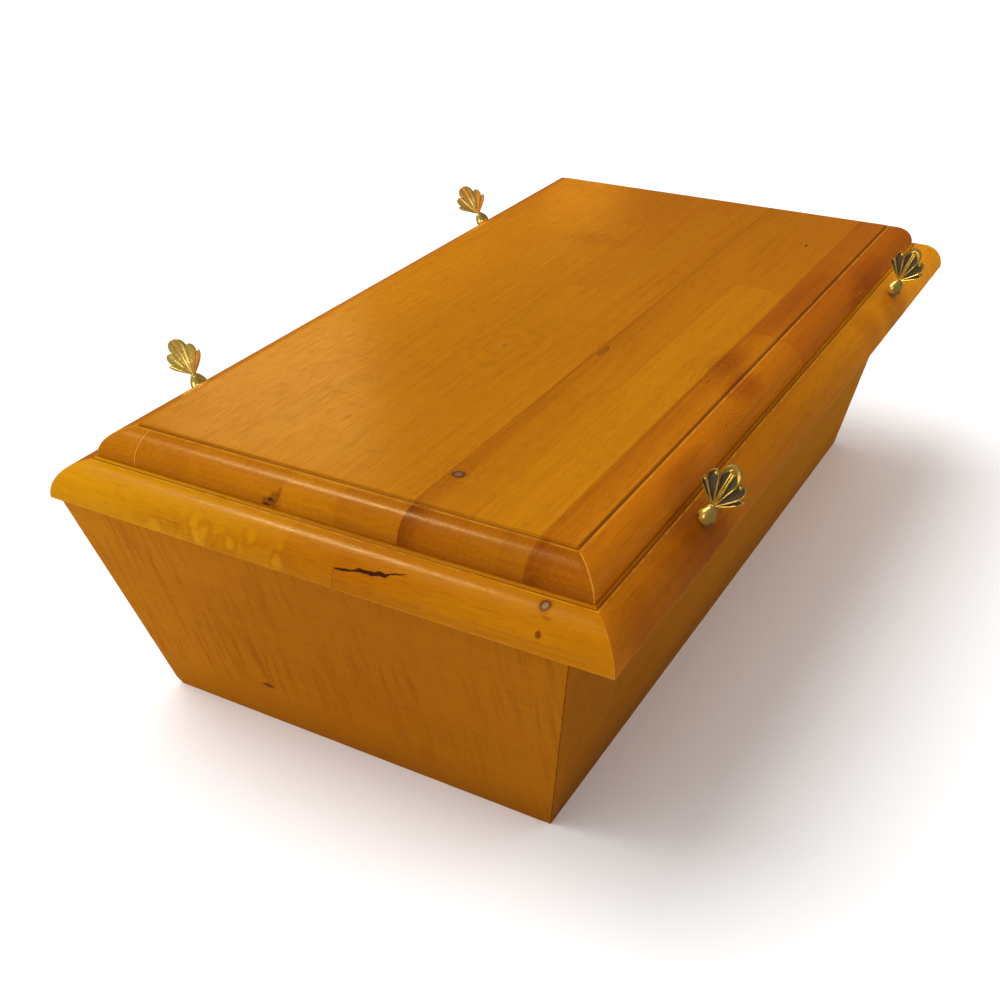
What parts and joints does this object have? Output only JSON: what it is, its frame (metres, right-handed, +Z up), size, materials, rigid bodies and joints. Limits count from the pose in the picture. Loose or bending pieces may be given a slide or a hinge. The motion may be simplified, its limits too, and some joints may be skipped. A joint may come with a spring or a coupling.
{
  "type": "coffin",
  "caption": "Small tapered coffin of stained, varnished boards with a stepped, rounded lift-off lid held by shell-headed brass screws.",
  "frame": {"origin": "middle of the box's underside", "axes": "+Z up, +Y along the coffin's length from the front end (the one with the cracked lid edge) to the back end, +X to its right"},
  "size_m": [0.4635, 0.7526, 0.2489],
  "materials": {
    "box_wood": "honey-brown stain under satin varnish",
    "lid_wood": "amber stain under satin varnish, knots and glued staves showing",
    "brass": "cast, bright on the ridges and dark in the hollows"
  },
  "bodies": {
    "root": {"base_board": "box_wood", "side_board_left": "box_wood", "side_board_right": "box_wood", "end_board_front": "box_wood", "end_board_back": "box_wood", "lid_lower_board": "lid_wood", "lid_upper_board": "lid_wood", "shell_screw_front_left": "brass", "shell_screw_front_right": "brass", "shell_screw_back_left": "brass", "shell_screw_back_right": "brass"}
  },
  "joints": []
}
